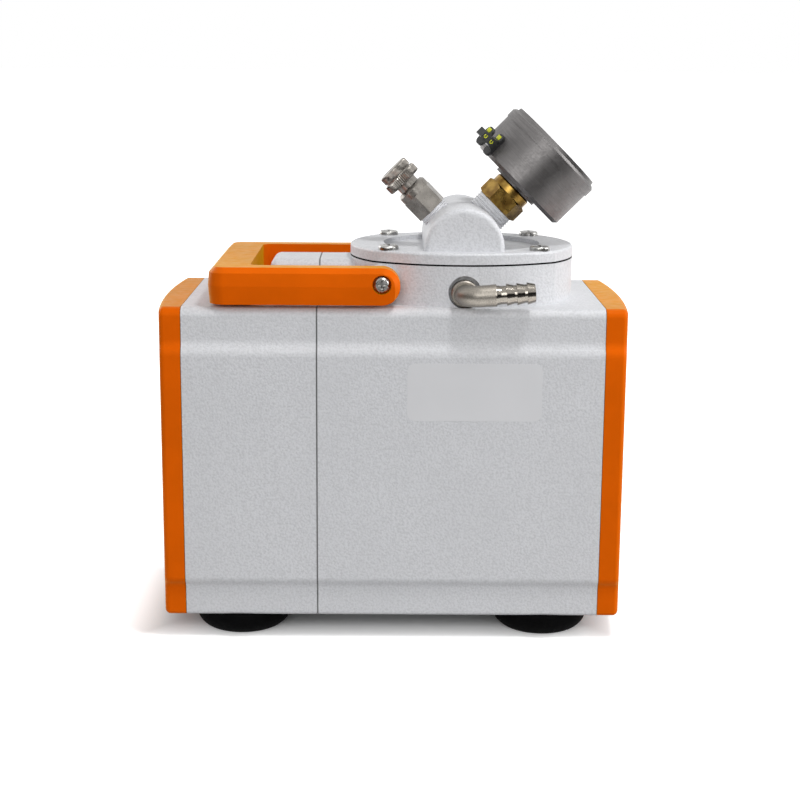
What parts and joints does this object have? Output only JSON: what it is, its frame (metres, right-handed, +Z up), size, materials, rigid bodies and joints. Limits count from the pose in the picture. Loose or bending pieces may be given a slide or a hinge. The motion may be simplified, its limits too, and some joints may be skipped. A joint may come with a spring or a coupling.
{
  "type": "vacuum pump",
  "caption": "Bench oil-free diaphragm vacuum pump with folding carry handle, inlet hose barb, regulating valve and vacuum gauge on an upright head.",
  "frame": {"origin": "on the standing surface, under the middle of the casing", "axes": "+Z up, +X along the motor shaft towards the pump head, -Y the front with the hose barb"},
  "size_m": [0.27, 0.1504, 0.3025],
  "materials": {
    "white_paint": "fine-textured white powder coat on cast aluminium",
    "orange_plastic": "orange moulded plastic, semi-gloss",
    "black_rubber": "black moulded rubber",
    "gasket_rubber": "black sheet gasket",
    "zinc_steel": "zinc-plated steel fastener",
    "nickel": "satin nickel plate on cast brass",
    "brass": "turned brass",
    "stainless": "satin stainless sheet",
    "ptfe_tape": "white thread seal tape",
    "clear_lens": "clear lens",
    "dial_white": "printed white dial",
    "pointer_black": "black lacquer",
    "black_plastic": "black moulded plastic",
    "lever_black": "black plastic with yellow-green edges",
    "cast_aluminium": "machined aluminium casting",
    "grey_iron": "cast iron",
    "electrical_steel": "stacked steel sheet",
    "copper": "varnished copper winding",
    "sintered_bronze": "porous sintered bronze",
    "spring_steel": "thin stainless spring steel",
    "capacitor_can": "drawn aluminium can"
  },
  "bodies": {
    "housing": {"motor_housing": "white_paint", "pump_housing": "white_paint", "left_end_cap": "orange_plastic", "right_end_cap": "orange_plastic", "rubber_feet": "black_rubber", "foot_screws": "zinc_steel", "foot_nuts": "zinc_steel", "tie_screws": "zinc_steel", "head_gasket": "gasket_rubber", "head_cover": "white_paint", "cover_screws": "zinc_steel", "valve_block": "cast_aluminium", "intake_reed": "spring_steel", "exhaust_reed": "spring_steel", "reed_screws": "zinc_steel", "hose_elbow": "nickel", "silencer_bush": "nickel", "silencer_element": "sintered_bronze", "stator_core": "electrical_steel", "stator_winding_left": "copper", "stator_winding_right": "copper", "rear_bearing": "zinc_steel", "front_bearing": "zinc_steel", "diaphragm": "black_rubber", "run_capacitor": "capacitor_can", "capacitor_clip": "zinc_steel", "handle_screw_front": "zinc_steel", "handle_screw_rear": "zinc_steel", "gauge_adapter": "brass", "gauge_thread_tape": "ptfe_tape", "gauge_socket": "stainless", "gauge_case": "stainless", "gauge_bezel": "stainless", "gauge_lens": "clear_lens", "gauge_dial": "dial_white", "bourdon_tube": "brass", "gauge_movement": "brass", "vent_seat": "black_plastic", "valve_body": "nickel", "valve_thread_tape": "ptfe_tape", "power_inlet": "black_plastic", "inlet_pins": "nickel", "inlet_screws": "zinc_steel", "switch_housing": "black_plastic"},
    "rotor": {"crankshaft": "zinc_steel", "rotor_core": "electrical_steel", "cooling_fan": "black_plastic", "eccentric": "zinc_steel", "counterweight": "grey_iron"},
    "con_rod": {"connecting_rod": "cast_aluminium", "rod_bearing": "zinc_steel", "clamp_plate_lower": "cast_aluminium", "clamp_plate_upper": "cast_aluminium", "clamp_screw": "zinc_steel"},
    "handle": {"handle": "orange_plastic"},
    "valve_stem": {"valve_stem": "nickel"},
    "valve_knob": {"valve_knob": "nickel"},
    "gauge_pointer": {"gauge_pointer": "pointer_black"},
    "vent_lever": {"vent_lever": "lever_black"},
    "power_switch": {"switch_rocker": "black_plastic"}
  },
  "joints": [
    {"name": "rotor_spin", "type": "hinge", "parent": "housing", "child": "rotor", "pos_m": [0, 0, 0.104], "axis": [1, 0, 0], "continuous": true},
    {"name": "rod_swing", "type": "hinge", "parent": "rotor", "child": "con_rod", "pos_m": [0.04, 0, 0.101], "axis": [1, 0, 0], "continuous": true, "deforming": ["diaphragm"]},
    {"name": "handle_fold", "type": "hinge", "parent": "housing", "child": "handle", "pos_m": [-0.0065, 0, 0.2075], "axis": [0, 1, 0], "range_deg": [0, 90]},
    {"name": "valve_lift", "type": "slide", "parent": "housing", "child": "valve_stem", "axis": [-0.7071, 0, 0.7071], "range_m": [0, 0.003]},
    {"name": "valve_turn", "type": "hinge", "parent": "valve_stem", "child": "valve_knob", "pos_m": [0.04, 0, 0.226], "axis": [-0.7071, 0, 0.7071], "range_deg": [0, 1080]},
    {"name": "pointer_sweep", "type": "hinge", "parent": "housing", "child": "gauge_pointer", "pos_m": [0.04, 0, 0.226], "axis": [0.7071, 0, 0.7071], "range_deg": [0, 270], "stiffness_Nm_per_rad": 0.0005},
    {"name": "vent_turn", "type": "hinge", "parent": "housing", "child": "vent_lever", "pos_m": [0.07677, 0, 0.26277], "axis": [-0.5862, -0.5592, 0.5862], "range_deg": [0, 90]},
    {"name": "switch_rock", "type": "hinge", "parent": "housing", "child": "power_switch", "pos_m": [-0.086, 0.0665, 0.14], "axis": [0, 0, 1], "range_deg": [-14, 0]}
  ],
  "couplings": [
    {"joint": "rod_swing", "follows": "rotor_spin", "ratio": -1},
    {"joint": "valve_turn", "follows": "valve_lift", "rad_per_m": 6283.2}
  ]
}
